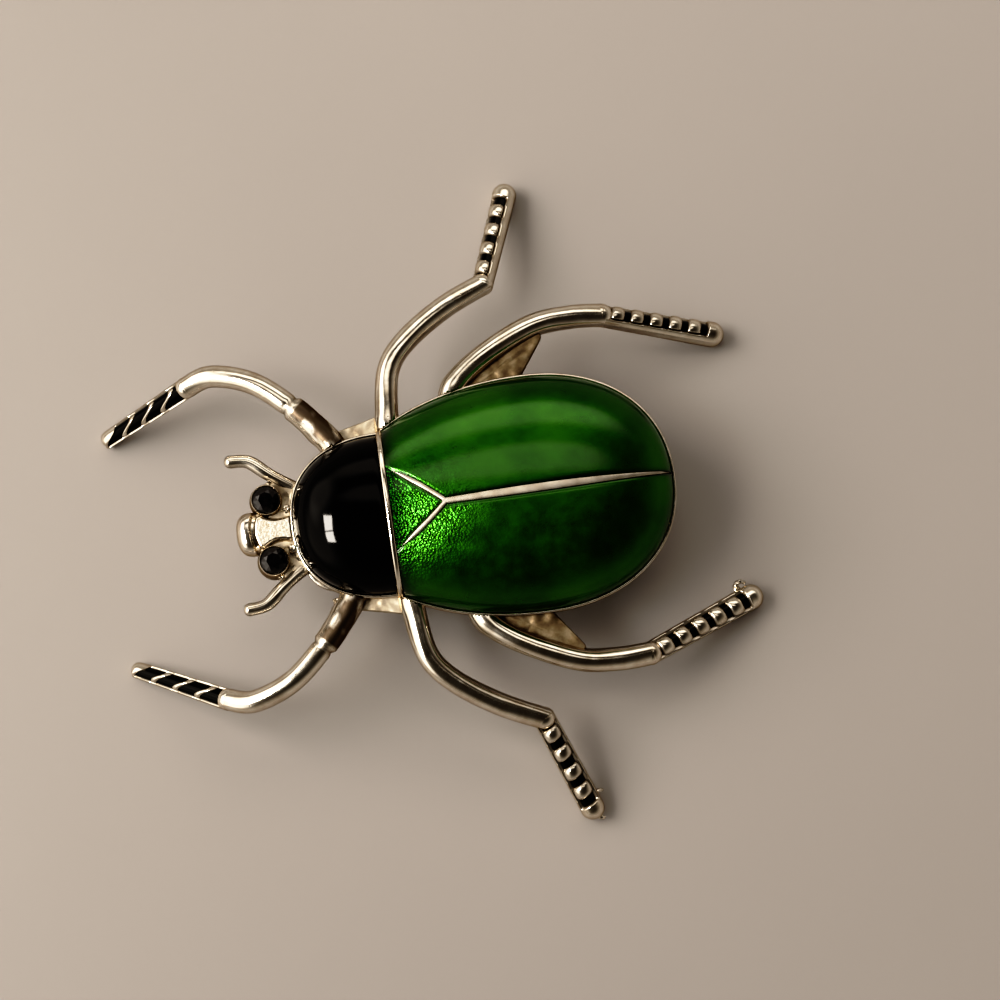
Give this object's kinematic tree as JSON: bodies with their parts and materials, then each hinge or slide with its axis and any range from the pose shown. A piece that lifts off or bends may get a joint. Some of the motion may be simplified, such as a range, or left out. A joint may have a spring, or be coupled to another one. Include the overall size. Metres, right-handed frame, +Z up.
{
  "type": "insect brooch",
  "caption": "Beetle brooch: cast silver-tone metal with a green and black enamelled domed back, faceted black eyes, curved legs with grooved feet, and a pin on the back.",
  "frame": {"origin": "centre of the footprint, on the surface that the six feet stand on", "axes": "+Z up out of the surface, the head towards -X, the beetle's right towards +Y"},
  "size_m": [0.0518, 0.0528, 0.0118],
  "materials": {
    "casting_metal": "polished silver-tone plating with small casting pits",
    "black_enamel": "gloss",
    "green_enamel": "gloss, translucent over metal",
    "eye_stone": "polished facets",
    "pin_metal": "plain drawn and stamped metal"
  },
  "bodies": {
    "root": {"casting": "casting_metal", "pronotum_enamel": "black_enamel", "left_wing_enamel": "green_enamel", "right_wing_enamel": "green_enamel", "scutellum_enamel": "green_enamel", "left_front_foot_enamel": "black_enamel", "right_front_foot_enamel": "black_enamel", "left_mid_foot_enamel": "black_enamel", "right_mid_foot_enamel": "black_enamel", "left_hind_foot_enamel": "black_enamel", "right_hind_foot_enamel": "black_enamel", "left_eye_stone": "eye_stone", "right_eye_stone": "eye_stone", "pin_back": "pin_metal"}
  },
  "joints": []
}
